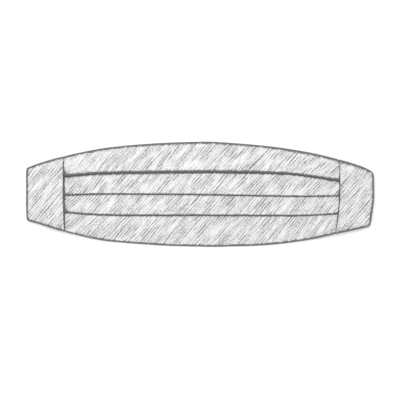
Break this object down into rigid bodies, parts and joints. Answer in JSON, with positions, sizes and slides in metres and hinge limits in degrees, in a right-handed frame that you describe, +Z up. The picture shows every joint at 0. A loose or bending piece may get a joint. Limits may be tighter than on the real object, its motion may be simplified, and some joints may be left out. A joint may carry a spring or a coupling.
{
  "type": "cummerbund",
  "caption": "Pleated waist sash with plain end tabs, lying flat with its back strap fastened by a slider.",
  "frame": {"origin": "on the surface that the sash lies on, under the middle of its length and height", "axes": "+X along the sash to the viewer's right, +Y to its upper edge, +Z up out of its front"},
  "size_m": [0.4096, 0.1214, 0.0103],
  "materials": {
    "silk": "slubbed silver-grey silk cut on the bias, low sheen",
    "webbing": "flat woven grey webbing, matte",
    "metal": "satin nickel plate"
  },
  "bodies": {
    "root": {"pleated_front": "silk", "end_tab_left": "silk", "end_tab_right": "silk", "strap_left": "webbing", "strap_right": "webbing", "strap_slider": "metal"}
  },
  "joints": []
}
